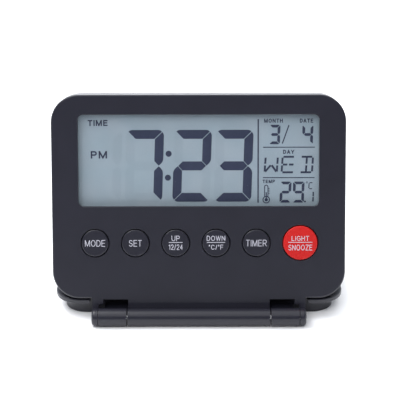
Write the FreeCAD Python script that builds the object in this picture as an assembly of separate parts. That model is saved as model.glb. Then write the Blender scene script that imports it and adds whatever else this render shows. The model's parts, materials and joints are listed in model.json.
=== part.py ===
import FreeCAD, Part
import math
import os

# Folding digital alarm clock with a flip cover.
# The cover is hinged along the lower front edge of the case.  Closed, it lies over the face;
# folded right round, it lies flat on the table behind the hinge and the case leans back on it.
# The part is modelled standing: origin at the middle of the bottom of its box, face towards -Y.
# Case parts are drawn upright in the face frame and then leaned back by stand():
#   X to the right, Y depth behind the front face, Z up from the lower edge of the face.
# All lengths are in millimetres, all angles in degrees.

# Case
CASE_W = 108.0
CASE_H = 75.3
CASE_DEPTH = 16.0
CASE_R = 10.0
WALL = 1.8
REAR_T = 1.6
SPLIT_Y = 7.5
FRONT_EDGE_R = 0.6
REAR_EDGE_R = 1.6
EDGE_BREAK = 0.25
LEAN = 16.0
UNDERSIDE_FLAT = 3.0
LIP_DEPTH = 1.2
LIP_INSET = 1.0
LIP_GAP = 0.05
SEAM_W = 0.4
SEAM_DEPTH = 0.3

# Hinge: its axis runs along X, in front of and below the lower edge of the face
HINGE_FROM_FACE = 3.6
HINGE_BELOW_FACE = 6.4
AXIS_Z = 3.3
KNUCKLE_R = 3.3
BARREL_R = 3.2
BARREL_X = 26.2
KNUCKLE_X = (26.6, 37.0)
EAR_X = (37.2, 39.5)
GUSSET_X = 35.4
GUSSET_H = 2.2
NOTCH_LIP_H = 0.4
TAB_T = 2.8
WEB_SHELF_Z = -4.9
WEB_TOE = (1.2, -7.6)
WEB_FOOT_Z = -8.2
WEB_HEEL_Z = -5.6
EAR_END_R = 1.2
PIN_R = 0.9
PIN_X = (20.0, 39.0)
PIN_PLAY = 0.05

# Cover, lying flat: its top plate overhangs a hollow rim that stands on the table
COVER_W = 107.4
COVER_NEAR = 6.8
COVER_FAR = 82.1
COVER_TOP = 7.2
COVER_T = 2.0
COVER_EDGE_R = 0.5
RIM_SIDE_INSET = 3.3
RIM_END_INSET = 3.9
RIM_R = 8.5
RIM_T = 1.6
CUTOUT_X = 40.6
CUTOUT_FAR = 10.0
ARM_X = (26.6, 35.0)
ARM_Z = (0.6, 3.6)

# Display window and the stack behind it
WINDOW_X = 44.2
WINDOW_Z = (34.2, 68.0)
WINDOW_R = 2.0
LENS_X = 46.2
LENS_Z = (32.4, 69.8)
ADHESIVE_T = 0.15
ADHESIVE_MARGIN = 0.6
LENS_T = 1.0
GASKET_T = 0.5
GASKET_MARGIN = 0.2
POLARISER_T = 0.2
POLARISER_INSET = 0.1
GLASS_T = 1.1
GLASS_X = 45.0
GLASS_Z = (33.4, 68.8)
LEDGE_Z = 30.9
GUIDE_T = 2.0
REFLECTOR_T = 0.2
FRAME_T = 0.9
FRAME_PLAY_X = 0.2
FRAME_PLAY_Z = 0.1
GUIDE_INSET = 0.2
LED_GAP = 0.3
ZEBRA_INSET = 3.0
LED_X = (41.9, 44.6)
LED_Z = (49.0, 52.0)
ZEBRA_Z = (31.1, 32.9)

# Push buttons
BUTTON_Z = 20.7
BUTTON_FIRST_X = -38.2
BUTTON_PITCH = 14.85
BUTTON_NAMES = ("mode", "set", "up", "down", "timer")
CAP_R = 4.95
SNOOZE_X = 37.4
SNOOZE_CAP_R = 6.3
CAP_GAP = 0.3
CAP_PROUD = 0.5
CAP_BACK = 1.9
CAP_EDGE_R = 0.35
WING_Y = (1.85, 2.8)
WING_CLEAR = 0.3
WING_REACH = 1.1
WING_H = 5.0
STEM_R = 2.0
STEM_BACK = 4.4
NECK_SHARE = 0.8

# Circuit board and its parts
BOARD_X = 46.2
BOARD_Z = (17.35, 70.0)
BOARD_Y = 9.4
BOARD_T = 1.2
BOARD_CORNER_R = 0.8
SWITCH_W = 6.0
SWITCH_H = 3.5
SWITCH_CORNER_R = 0.5
PLUNGER_R = 1.7
PLUNGER_PLAY = 0.08
PLUNGER_BACK = 7.2
SWITCH_BORE_BACK = 8.1
BUZZER_AT = (28.0, 52.0)
BUZZER_R = 6.5
BUZZER_H = 3.2
BUZZER_WALL = 0.7
BUZZER_ROOF = 0.6
BUZZER_STEP = 1.5
BUZZER_PORT_R = 1.2
PIEZO_T = 0.3
SOUND_SLOTS = dict(count=5, length=9.0, height=1.0, pitch=2.0)
SENSOR_AT = (-40.0, 60.0)
SENSOR_R = 1.1
SENSOR_LIFT = 2.0
SENSOR_LEG_X = 0.6
SENSOR_SLOTS = dict(count=4, length=6.0, height=1.0, pitch=2.0)
SLOT_END_SHARE = 0.49
LEAD_HALF_W = 0.2
RESET_AT = (-28.0, 26.0)
RESET_HALF_W = 2.2
RESET_H = 1.8
RESET_STEM_R = 1.0
RESET_STEM_H = 2.5
RESET_HOLE_R = 0.8
BLOB_AT = (-6.0, 46.0)
BLOB_R = 6.0
BLOB_H = 1.5
CRYSTAL_AT = (-24.0, 36.0)
CRYSTAL_R = 1.0
CRYSTAL_L = 6.0
CRYSTAL_LEAD_L = 2.0
CRYSTAL_LEAD_Z = 0.5
SMD_FIRST_X = -20.0
SMD_PITCH = 5.0
SMD_COUNT = 6
SMD_ROWS_Z = (58.0, 62.5)
SMD_SIZE = (1.6, 0.6, 0.8)

# Screws; the shares are of the head's radius or height
SCREW_PLAY = 0.2
BOARD_SCREW_PLAY = 0.1
HEAD_ROUND_SHARE = 0.4
CROSS_REACH_SHARE = 0.62
CROSS_HALF_SHARE = 0.14
CROSS_FLOOR_SHARE = 0.45
CASE_SCREWS = [(side * 49.6, z) for side in (-1, 1) for z in (21.0, 67.5)]
CASE_BOSS_R = 2.6
CASE_TUBE_R = 3.0
CASE_SCREW_R = 1.1
CASE_SCREW_HEAD_R = 1.9
CASE_SCREW_HEAD_H = 1.3
CASE_SCREW_TIP = 4.5
CASE_SCREW_SEAT = 13.2
BOARD_SCREWS = [(x, 27.3) for x in (-44.0, 0.0, 44.0)]
POST_R = 2.2
BOARD_SCREW_R = 0.9
BOARD_SCREW_HEAD_R = 1.7
BOARD_SCREW_HEAD_H = 1.1
BOARD_SCREW_TIP = 6.0

# Battery compartment: two AAA cells end to end along the lower edge
CELL_R = 5.2
CELL_L = 44.5
CELL_NUB_R = 1.9
CELL_NUB_L = 0.8
CELL_EDGE_R = 0.5
CELL_COUNT = 2
CELL_Y = 9.1
CELL_Z = 10.4
TUB_X = 46.8
TUB_WALL = 1.0
TUB_Y = 3.8
TUB_Z = (5.05, 16.05)
CONTACT_T = 0.4
CONTACT_HALF_W = 3.6
CONTACT_PLAY = 0.1
CONTACT_PLATE_Z = (6.0, 16.05)
SOLDER_TAB_X = 43.6
SOLDER_TAB_Z = (15.7, 19.5)
SOLDER_TAB_PLAY = 0.2
LEAF_T = 0.35
LEAF_W = 3.0
LEAF_FOOT_Z = 6.2
LEAF_FLAT_Z = (9.2, 11.6)
LEAF_TIP_Z = 13.2
LEAF_TIP_BACK = 2.0

# Battery door, which turns on two stubs at its lower edge
DOOR_GAP = 0.3
DOOR_T = 1.4
DOOR_BEAD_R = 1.1
DOOR_STUB_R = 0.7
DOOR_STUB_L = 1.0
DOOR_STUB_PLAY = 0.05
DOOR_STUB_END_PLAY = 0.1
TONGUE_X = 4.5
TONGUE_H = 2.6
TONGUE_T = 0.8
TONGUE_R = 1.0
TONGUE_ROOT = 2.0
GRIP_RIBS = 4
GRIP_RIB_W = 0.5
GRIP_RIB_PITCH = 1.2
GRIP_RIB_DROP = 5.2
GRIP_RIB_PROUD = 0.25

# BITE: overlap that joins two pieces of one part; PAST: how far a cutter runs beyond a surface
BITE = 1.0
PAST = 1.0
BIG = 200.0
TOL = 1e-6
Vec = FreeCAD.Vector
X_AXIS = Vec(1, 0, 0)
Y_AXIS = Vec(0, 1, 0)
Z_AXIS = Vec(0, 0, 1)

# Worked-out places
AXIS_Y = -(COVER_FAR - KNUCKLE_R) / 2
LENS_Y = WALL + ADHESIVE_T
GASKET_Y = LENS_Y + LENS_T
POLARISER_Y = GASKET_Y + GASKET_T
FRONT_GLASS_Y = POLARISER_Y + POLARISER_T
REAR_GLASS_Y = FRONT_GLASS_Y + GLASS_T
REAR_POLARISER_Y = REAR_GLASS_Y + GLASS_T
GUIDE_Y = REAR_POLARISER_Y + POLARISER_T
REFLECTOR_Y = GUIDE_Y + GUIDE_T
GUIDE_X = (-GLASS_X + GUIDE_INSET, LED_X[0] - LED_GAP)
ZEBRA_X = GLASS_X - ZEBRA_INSET
BOARD_BACK = BOARD_Y + BOARD_T
INNER_BACK = CASE_DEPTH - REAR_T
PILOT_Y = 1.5 * WALL
RIM_X = COVER_W / 2 - RIM_SIDE_INSET
RIM_Y = (COVER_NEAR + RIM_END_INSET, COVER_FAR - RIM_END_INSET)
BLACK_BUTTONS = [(name, BUTTON_FIRST_X + BUTTON_PITCH * i) for i, name in enumerate(BUTTON_NAMES)]
BUTTONS = [(name, x, CAP_R) for name, x in BLACK_BUTTONS] + [("snooze", SNOOZE_X, SNOOZE_CAP_R)]
DOOR_AXIS_Y = CASE_DEPTH - DOOR_BEAD_R
DOOR_AXIS_Z = TUB_Z[0] + DOOR_GAP + DOOR_BEAD_R


def box(x0, x1, y0, y1, z0, z1):
    return Part.makeBox(x1 - x0, y1 - y0, z1 - z0, Vec(x0, y0, z0))


def rod_x(x0, x1, y, z, r):
    return Part.makeCylinder(r, x1 - x0, Vec(x0, y, z), X_AXIS)


def rod_y(x, z, y0, y1, r):
    return Part.makeCylinder(r, y1 - y0, Vec(x, y0, z), Y_AXIS)


def prism_x(outline, x0, x1):
    """Solid along X whose section is a polygon of (y, z) points."""
    points = [Vec(x0, y, z) for y, z in outline]
    face = Part.Face(Part.makePolygon(points + points[:1]))
    return face.extrude(Vec(x1 - x0, 0, 0))


def edges_along(shape, axis):
    """Straight edges parallel to an axis."""
    straight = [edge for edge in shape.Edges if isinstance(edge.Curve, Part.Line)]
    return [edge for edge in straight if abs(abs(edge.Curve.Direction.dot(axis)) - 1) < TOL]


def edges_at_y(shape, y, x_reach=BIG, z_range=(-BIG, BIG)):
    """Edges that lie in one plane of constant y, near enough to the middle."""
    chosen = []
    for edge in shape.Edges:
        flat = abs(edge.BoundBox.YMin - y) < TOL and abs(edge.BoundBox.YMax - y) < TOL
        middle = edge.CenterOfMass
        if flat and abs(middle.x) < x_reach and z_range[0] < middle.z < z_range[1]:
            chosen.append(edge)
    return chosen


def edges_at_z(shape, z):
    return [edge for edge in shape.Edges
            if abs(edge.BoundBox.ZMin - z) < TOL and abs(edge.BoundBox.ZMax - z) < TOL]


def upright_slab(x, z_range, y0, y1, r):
    """Plate parallel to the face, symmetric in x, with rounded corners."""
    slab = box(-x, x, y0, y1, *z_range)
    return slab.makeFillet(r, edges_along(slab, Y_AXIS))


def flat_slab(x, y_range, z0, z1, r):
    """Plate lying flat, symmetric in x, with rounded corners."""
    slab = box(-x, x, *y_range, z0, z1)
    return slab.makeFillet(r, edges_along(slab, Z_AXIS))


def fused(shapes):
    first, *others = shapes
    return first.multiFuse(others).removeSplitter() if others else first


def mirrored(shape):
    """The same shape on the other side of the middle plane."""
    return shape.mirror(Vec(0, 0, 0), X_AXIS)


def stand(shape):
    """Lean a case part back about the hinge axis and set it on the table."""
    placed = shape.copy()
    placed.translate(Vec(0, HINGE_FROM_FACE, HINGE_BELOW_FACE))
    placed.rotate(Vec(0, 0, 0), X_AXIS, -LEAN)
    placed.translate(Vec(0, AXIS_Y, AXIS_Z))
    return placed


def case_block(inset, y0, y1):
    """The case outline, inset on all sides, with its underside sloped to lie along the cover."""
    lean = math.radians(LEAN)
    slab = upright_slab(CASE_W / 2 - inset, (inset, CASE_H - inset), y0, y1, CASE_R - inset)
    start = UNDERSIDE_FLAT - inset * math.tan(lean / 2)
    end = CASE_DEPTH + CASE_R
    rise = (end - start) * math.tan(lean)
    below = prism_x([(start, inset), (end, inset + rise), (end, -CASE_R), (start, -CASE_R)], -BIG, BIG)
    return slab.cut(below)


def barrel_profile(x0, x1, r):
    """Hinge barrel and the web that hangs it from the face, between two x places."""
    barrel = rod_x(x0, x1, -HINGE_FROM_FACE, -HINGE_BELOW_FACE, r)
    web = prism_x([
        (0, BITE), (0, WEB_SHELF_Z), (-HINGE_FROM_FACE, WEB_SHELF_Z), (-HINGE_FROM_FACE, WEB_FOOT_Z),
        WEB_TOE, (TAB_T, WEB_HEEL_Z), (TAB_T, BITE)], x0, x1)
    return barrel.fuse(web)


def hinge_ear():
    """Outer hinge ear on the +X side, with a gusset and a lip up to the case and a rounded end."""
    disc = rod_x(EAR_X[0], EAR_X[1], -HINGE_FROM_FACE, -HINGE_BELOW_FACE, BARREL_R)
    rim = [edge for edge in disc.Edges if abs(edge.CenterOfMass.x - EAR_X[1]) < TOL]
    disc = disc.makeFillet(EAR_END_R, rim)
    web = barrel_profile(EAR_X[0], EAR_X[1], PIN_R * 2)
    gusset = box(GUSSET_X, EAR_X[0], 0, TAB_T, -GUSSET_H, BITE)
    lip = box(BARREL_X, GUSSET_X, 0, TAB_T, -NOTCH_LIP_H, BITE)
    return fused([disc, web, gusset, lip])


def hinge_pin():
    return rod_x(PIN_X[0], PIN_X[1], -HINGE_FROM_FACE, -HINGE_BELOW_FACE, PIN_R)


def hinge_pins():
    pin = hinge_pin()
    return Part.makeCompound([pin, mirrored(pin)])


def front_shell():
    skin = case_block(0, 0, SPLIT_Y)
    skin = skin.makeFillet(FRONT_EDGE_R, edges_at_y(skin, 0))
    openings = [upright_slab(WINDOW_X, WINDOW_Z, -PAST, CASE_DEPTH, WINDOW_R)]
    openings += [rod_y(x, BUTTON_Z, -PAST, CASE_DEPTH, r + CAP_GAP) for _, x, r in BUTTONS]
    cavity = case_block(WALL, WALL, CASE_DEPTH)
    rebate = case_block(LIP_INSET, SPLIT_Y - LIP_DEPTH, CASE_DEPTH)
    shell = skin.cut(fused([cavity, rebate]))
    for opening in openings:
        shell = shell.cut(opening)
    inner_edges = edges_at_y(shell, 0, CASE_W / 2 - CASE_R / 2, (CASE_R / 2, CASE_H - CASE_R / 2))
    shell = shell.makeFillet(EDGE_BREAK, inner_edges)
    bosses = [rod_y(x, z, WALL / 2, SPLIT_Y, CASE_BOSS_R) for x, z in CASE_SCREWS]
    posts = [rod_y(x, z, WALL / 2, BOARD_Y, POST_R) for x, z in BOARD_SCREWS]
    ear = hinge_ear()
    barrel = barrel_profile(-BARREL_X, BARREL_X, BARREL_R)
    shell = fused([shell, barrel, ear, mirrored(ear)] + bosses + posts)
    pilots = [rod_y(x, z, PILOT_Y, CASE_DEPTH, CASE_SCREW_R) for x, z in CASE_SCREWS]
    pilots += [rod_y(x, z, PILOT_Y, CASE_DEPTH, BOARD_SCREW_R) for x, z in BOARD_SCREWS]
    for hole in pilots + [hinge_pin(), mirrored(hinge_pin())]:
        shell = shell.cut(hole)
    return shell


def battery_tub():
    """Outer block of the battery compartment, before it is hollowed."""
    return box(-TUB_X - TUB_WALL, TUB_X + TUB_WALL, TUB_Y - TUB_WALL, CASE_DEPTH - REAR_T / 2,
               TUB_Z[0] - TUB_WALL, TUB_Z[1] + TUB_WALL)


def slots(x, z, count, length, height, pitch):
    """Row of short slots through the rear wall, one above another."""
    row = []
    for i in range(count):
        middle = z + (i - (count - 1) / 2) * pitch
        slot = box(x - length / 2, x + length / 2, INNER_BACK - PAST, CASE_DEPTH + PAST,
                   middle - height / 2, middle + height / 2)
        row.append(slot.makeFillet(height * SLOT_END_SHARE, edges_along(slot, Y_AXIS)))
    return row


def rear_shell():
    skin = case_block(0, SPLIT_Y, CASE_DEPTH)
    skin = skin.makeFillet(REAR_EDGE_R, edges_at_y(skin, CASE_DEPTH))
    seam = case_block(0, SPLIT_Y, SPLIT_Y + SEAM_W).cut(case_block(SEAM_DEPTH, 0, CASE_DEPTH))
    skin = skin.cut(seam)
    shell = skin.cut(case_block(WALL, SPLIT_Y - PAST, INNER_BACK))
    lip = case_block(LIP_INSET + LIP_GAP, SPLIT_Y - LIP_DEPTH + LIP_GAP, SPLIT_Y + BITE)
    lip = lip.cut(case_block(WALL, 0, CASE_DEPTH))
    for x, z in CASE_SCREWS:
        lip = lip.cut(rod_y(x, z, 0, SPLIT_Y, CASE_BOSS_R + LIP_GAP))
    tubes = [rod_y(x, z, SPLIT_Y, INNER_BACK + REAR_T / 2, CASE_TUBE_R) for x, z in CASE_SCREWS]
    shell = fused([shell, lip, battery_tub()] + tubes)
    holes = [box(-TUB_X, TUB_X, TUB_Y, CASE_DEPTH + PAST, *TUB_Z)]
    holes.append(box(-TONGUE_X - DOOR_GAP, TONGUE_X + DOOR_GAP, CASE_DEPTH - TONGUE_T - DOOR_GAP,
                     CASE_DEPTH + PAST, TUB_Z[1] - PAST, TUB_Z[1] + TONGUE_H + DOOR_GAP))
    for x, z in CASE_SCREWS:
        holes.append(rod_y(x, z, SPLIT_Y - LIP_DEPTH, CASE_DEPTH + PAST, CASE_SCREW_R + SCREW_PLAY))
        holes.append(rod_y(x, z, CASE_SCREW_SEAT, CASE_DEPTH + PAST, CASE_SCREW_HEAD_R + SCREW_PLAY))
    stub_end = TUB_X - DOOR_GAP + DOOR_STUB_L + DOOR_STUB_END_PLAY
    for side in (-1, 1):
        near, far = sorted((side * TUB_X, side * stub_end))
        holes.append(rod_x(near, far, DOOR_AXIS_Y, DOOR_AXIS_Z, DOOR_STUB_R + DOOR_STUB_PLAY))
        tab_x0, tab_x1 = sorted((side * (SOLDER_TAB_X - SOLDER_TAB_PLAY), side * TUB_X))
        holes.append(box(tab_x0, tab_x1, BOARD_Y - CONTACT_T - CONTACT_PLAY, BOARD_Y + CONTACT_PLAY,
                         TUB_Z[1] - CONTACT_PLAY, TUB_Z[1] + TUB_WALL + CONTACT_PLAY))
    holes += slots(*BUZZER_AT, **SOUND_SLOTS)
    holes += slots(*SENSOR_AT, **SENSOR_SLOTS)
    holes.append(rod_y(*RESET_AT, INNER_BACK - PAST, CASE_DEPTH + PAST, RESET_HOLE_R))
    for hole in holes:
        shell = shell.cut(hole)
    return shell


def cover_shell():
    """Cover, drawn lying flat behind the hinge axis with the table at z = 0."""
    plate = flat_slab(COVER_W / 2, (COVER_NEAR, COVER_FAR), COVER_TOP - COVER_T, COVER_TOP, CASE_R)
    rims = edges_at_z(plate, COVER_TOP) + edges_at_z(plate, COVER_TOP - COVER_T)
    plate = plate.makeFillet(COVER_EDGE_R, rims)
    plate = plate.cut(box(-CUTOUT_X, CUTOUT_X, 0, CUTOUT_FAR, 0, 2 * COVER_TOP))
    rim_top = COVER_TOP - COVER_T / 2
    rim = flat_slab(RIM_X, RIM_Y, 0, rim_top, RIM_R)
    inner_y = (RIM_Y[0] + RIM_T, RIM_Y[1] - RIM_T)
    rim = rim.cut(flat_slab(RIM_X - RIM_T, inner_y, -PAST, COVER_TOP, RIM_R - RIM_T))
    knuckle = rod_x(KNUCKLE_X[0], KNUCKLE_X[1], 0, AXIS_Z, KNUCKLE_R)
    arm = box(ARM_X[0], ARM_X[1], 0, RIM_Y[0] + RIM_T / 2, *ARM_Z)
    cover = fused([plate, rim, knuckle, arm, mirrored(knuckle), mirrored(arm)])
    bore = rod_x(-BIG, BIG, 0, AXIS_Z, PIN_R + PIN_PLAY)
    cover = cover.cut(bore)
    cover.translate(Vec(0, AXIS_Y, 0))
    return cover


def window_ring(y0, y1, margin):
    """Frame-shaped sheet around the display window."""
    sheet = box(-LENS_X, LENS_X, y0, y1, *LENS_Z)
    hole = upright_slab(WINDOW_X + margin, (WINDOW_Z[0] - margin, WINDOW_Z[1] + margin),
                        y0 - PAST, y1 + PAST, WINDOW_R)
    return sheet.cut(hole)


def lcd_polarisers():
    x = GLASS_X - POLARISER_INSET
    front = box(-x, x, POLARISER_Y, FRONT_GLASS_Y, *GLASS_Z)
    rear = box(-x, x, REAR_POLARISER_Y, GUIDE_Y, *GLASS_Z)
    return Part.makeCompound([front, rear])


def lcd_frame():
    outer = box(-BOARD_X, BOARD_X, FRONT_GLASS_Y, BOARD_Y, LEDGE_Z - FRAME_T, GLASS_Z[1] + FRAME_T)
    clear = GLASS_X + FRAME_PLAY_X
    inner = box(-clear, clear, 0, CASE_DEPTH, LEDGE_Z - FRAME_PLAY_Z, GLASS_Z[1] + FRAME_PLAY_Z)
    return outer.cut(inner)


def main_board():
    board = box(-BOARD_X, BOARD_X, BOARD_Y, BOARD_BACK, *BOARD_Z)
    board = board.makeFillet(BOARD_CORNER_R, edges_along(board, Y_AXIS))
    for x, z in BOARD_SCREWS:
        board = board.cut(rod_y(x, z, 0, CASE_DEPTH, BOARD_SCREW_R + BOARD_SCREW_PLAY))
    return board


def controller_blob():
    """Epoxy dome over the controller chip."""
    ball_r = (BLOB_R ** 2 + BLOB_H ** 2) / (2 * BLOB_H)
    x, z = BLOB_AT
    ball = Part.makeSphere(ball_r, Vec(x, BOARD_BACK + BLOB_H - ball_r, z))
    return ball.common(box(x - BLOB_R, x + BLOB_R, BOARD_BACK, CASE_DEPTH, z - BLOB_R, z + BLOB_R))


def quartz_crystal():
    """Watch crystal lying on the board, with two leads that run out and up into its can."""
    x, z = CRYSTAL_AT
    pieces = [rod_x(x, x + CRYSTAL_L, BOARD_BACK + CRYSTAL_R, z, CRYSTAL_R)]
    lead_t = 2 * LEAD_HALF_W
    for middle in (z - CRYSTAL_LEAD_Z, z + CRYSTAL_LEAD_Z):
        low, high = middle - LEAD_HALF_W, middle + LEAD_HALF_W
        pieces.append(box(x - CRYSTAL_LEAD_L, x + lead_t, BOARD_BACK, BOARD_BACK + lead_t, low, high))
        pieces.append(box(x - LEAD_HALF_W, x + lead_t, BOARD_BACK, BOARD_BACK + CRYSTAL_R, low, high))
    return fused(pieces)


def smd_parts():
    """Chip resistors and capacitors in two rows on the back of the board."""
    length, height, width = SMD_SIZE
    places = [(SMD_FIRST_X + SMD_PITCH * i, z) for i in range(SMD_COUNT) for z in SMD_ROWS_Z]
    return Part.makeCompound([
        box(x - length / 2, x + length / 2, BOARD_BACK, BOARD_BACK + height,
            z - width / 2, z + width / 2) for x, z in places])


def buzzer_case():
    """Round cap with a step inside that the disc rests against and a sound port on top."""
    case = rod_y(*BUZZER_AT, BOARD_BACK, BOARD_BACK + BUZZER_H, BUZZER_R)
    chamber = rod_y(*BUZZER_AT, BOARD_BACK, BOARD_BACK + BUZZER_STEP, BUZZER_R - BUZZER_WALL)
    upper = rod_y(*BUZZER_AT, BOARD_BACK, BOARD_BACK + BUZZER_H - BUZZER_ROOF,
                  BUZZER_R - 2 * BUZZER_WALL)
    port = rod_y(*BUZZER_AT, BOARD_BACK, CASE_DEPTH, BUZZER_PORT_R)
    return case.cut(chamber).cut(upper).cut(port)


def piezo_disc():
    top = BOARD_BACK + BUZZER_STEP
    return rod_y(*BUZZER_AT, top - PIEZO_T, top, BUZZER_R - BUZZER_WALL)


def temperature_sensor():
    """Thermistor bead on two legs."""
    x, z = SENSOR_AT
    pieces = [Part.makeSphere(SENSOR_R, Vec(x, BOARD_BACK + SENSOR_LIFT, z))]
    for middle in (x - SENSOR_LEG_X, x + SENSOR_LEG_X):
        pieces.append(box(middle - LEAD_HALF_W, middle + LEAD_HALF_W, BOARD_BACK,
                          BOARD_BACK + SENSOR_LIFT, z - LEAD_HALF_W, z + LEAD_HALF_W))
    return fused(pieces)


def reset_switch():
    x, z = RESET_AT
    body = box(x - RESET_HALF_W, x + RESET_HALF_W, BOARD_BACK, BOARD_BACK + RESET_H,
               z - RESET_HALF_W, z + RESET_HALF_W)
    return body.fuse(rod_y(x, z, BOARD_BACK, BOARD_BACK + RESET_STEM_H, RESET_STEM_R))


def tact_switch_bases():
    bases = []
    for _, x, _ in BUTTONS:
        half = SWITCH_W / 2
        base = box(x - half, x + half, BOARD_Y - SWITCH_H, BOARD_Y, BUTTON_Z - half, BUTTON_Z + half)
        base = base.makeFillet(SWITCH_CORNER_R, edges_along(base, Y_AXIS))
        bore = rod_y(x, BUTTON_Z, 0, SWITCH_BORE_BACK, PLUNGER_R + PLUNGER_PLAY)
        bases.append(base.cut(bore))
    return Part.makeCompound(bases)


def switch_plunger(x):
    return rod_y(x, BUTTON_Z, STEM_BACK, PLUNGER_BACK, PLUNGER_R)


def button_cap(x, r):
    """Round cap with two side wings behind the face and a stem down to its switch."""
    cap = rod_y(x, BUTTON_Z, -CAP_PROUD, CAP_BACK, r)
    cap = cap.makeFillet(CAP_EDGE_R, edges_at_y(cap, -CAP_PROUD))
    reach = r + WING_REACH
    wings = box(x - reach, x + reach, WALL + WING_CLEAR, WING_Y[1],
                BUTTON_Z - WING_H / 2, BUTTON_Z + WING_H / 2)
    neck = box(x - r * NECK_SHARE, x + r * NECK_SHARE, WING_Y[0], WING_Y[1],
               BUTTON_Z - WING_H / 2, BUTTON_Z + WING_H / 2)
    stem = rod_y(x, BUTTON_Z, 0, STEM_BACK, STEM_R)
    return fused([cap, wings, neck, stem])


def battery_cells():
    cells = []
    for i in range(CELL_COUNT):
        x0 = TUB_X - CONTACT_T - CELL_L * (CELL_COUNT - i)
        can = rod_x(x0, x0 + CELL_L - CELL_NUB_L, CELL_Y, CELL_Z, CELL_R)
        can = can.makeFillet(CELL_EDGE_R, [edge for edge in can.Edges if edge.Closed])
        cells.append(can.fuse(rod_x(x0 + BITE, x0 + CELL_L, CELL_Y, CELL_Z, CELL_NUB_R)))
    return Part.makeCompound(cells)


def contact_plate(side):
    """Flat end contact with a solder tab that reaches the board; side is -1 or +1."""
    x0, x1 = sorted((side * TUB_X, side * (TUB_X - CONTACT_T)))
    plate = box(x0, x1, CELL_Y - CONTACT_HALF_W, CELL_Y + CONTACT_HALF_W, *CONTACT_PLATE_Z)
    tab_x0, tab_x1 = sorted((side * SOLDER_TAB_X, side * TUB_X))
    tab = box(tab_x0, tab_x1, BOARD_Y - CONTACT_T, BOARD_Y, *SOLDER_TAB_Z)
    return plate.fuse(tab)


def negative_spring():
    """End plate with a bent leaf that presses the cells together."""
    touch = TUB_X - CONTACT_T - CELL_COUNT * CELL_L
    line = [(-TUB_X + CONTACT_T, LEAF_FOOT_Z), (touch, LEAF_FLAT_Z[0]), (touch, LEAF_FLAT_Z[1]),
            (touch - LEAF_TIP_BACK, LEAF_TIP_Z)]
    outline = line + [(x - LEAF_T, z) for x, z in reversed(line)]
    points = [Vec(x, CELL_Y - LEAF_W / 2, z) for x, z in outline]
    leaf = Part.Face(Part.makePolygon(points + points[:1])).extrude(Vec(0, LEAF_W, 0))
    return contact_plate(-1).fuse(leaf)


def battery_door():
    """Door with a pivot bead along its lower edge, a finger tongue and grip ribs."""
    x = TUB_X - DOOR_GAP
    top = TUB_Z[1] - DOOR_GAP
    plate = box(-x, x, CASE_DEPTH - DOOR_T, CASE_DEPTH, DOOR_AXIS_Z, top)
    bead = rod_x(-x, x, DOOR_AXIS_Y, DOOR_AXIS_Z, DOOR_BEAD_R)
    stubs = rod_x(-x - DOOR_STUB_L, x + DOOR_STUB_L, DOOR_AXIS_Y, DOOR_AXIS_Z, DOOR_STUB_R)
    tongue = box(-TONGUE_X, TONGUE_X, CASE_DEPTH - TONGUE_T, CASE_DEPTH, top - TONGUE_ROOT,
                 TUB_Z[1] + TONGUE_H)
    tongue = tongue.makeFillet(TONGUE_R, [edge for edge in edges_along(tongue, Y_AXIS)
                                          if edge.CenterOfMass.z > TUB_Z[1]])
    ribs = []
    for i in range(GRIP_RIBS):
        low = top - GRIP_RIB_DROP + GRIP_RIB_PITCH * i
        ribs.append(box(-TONGUE_X, TONGUE_X, CASE_DEPTH - TONGUE_T, CASE_DEPTH + GRIP_RIB_PROUD,
                        low, low + GRIP_RIB_W))
    return fused([plate, bead, stubs, tongue] + ribs)


def cross_screw(at, shank_r, head_r, head_h, seat, tip):
    """Pan-head screw along the depth, with a pointed tip and a cross recess."""
    top = rod_y(*at, seat, seat + head_h, head_r)
    top = top.makeFillet(head_h * HEAD_ROUND_SHARE, edges_at_y(top, seat + head_h))
    shank = rod_y(*at, tip + shank_r, seat + BITE / 10, shank_r)
    point = Part.makeCone(shank_r / 5, shank_r, shank_r, Vec(at[0], tip, at[1]), Y_AXIS)
    screw = fused([top, shank, point])
    arm, half = head_r * CROSS_REACH_SHARE, head_r * CROSS_HALF_SHARE
    floor = seat + head_h * CROSS_FLOOR_SHARE
    for dx, dz in ((arm, half), (half, arm)):
        screw = screw.cut(box(at[0] - dx, at[0] + dx, floor, CASE_DEPTH + PAST,
                              at[1] - dz, at[1] + dz))
    return screw


def case_screws():
    return Part.makeCompound([
        cross_screw(at, CASE_SCREW_R, CASE_SCREW_HEAD_R, CASE_SCREW_HEAD_H,
                    CASE_SCREW_SEAT, CASE_SCREW_TIP) for at in CASE_SCREWS])


def board_screws():
    return Part.makeCompound([
        cross_screw(at, BOARD_SCREW_R, BOARD_SCREW_HEAD_R, BOARD_SCREW_HEAD_H,
                    BOARD_BACK, BOARD_SCREW_TIP) for at in BOARD_SCREWS])


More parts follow.
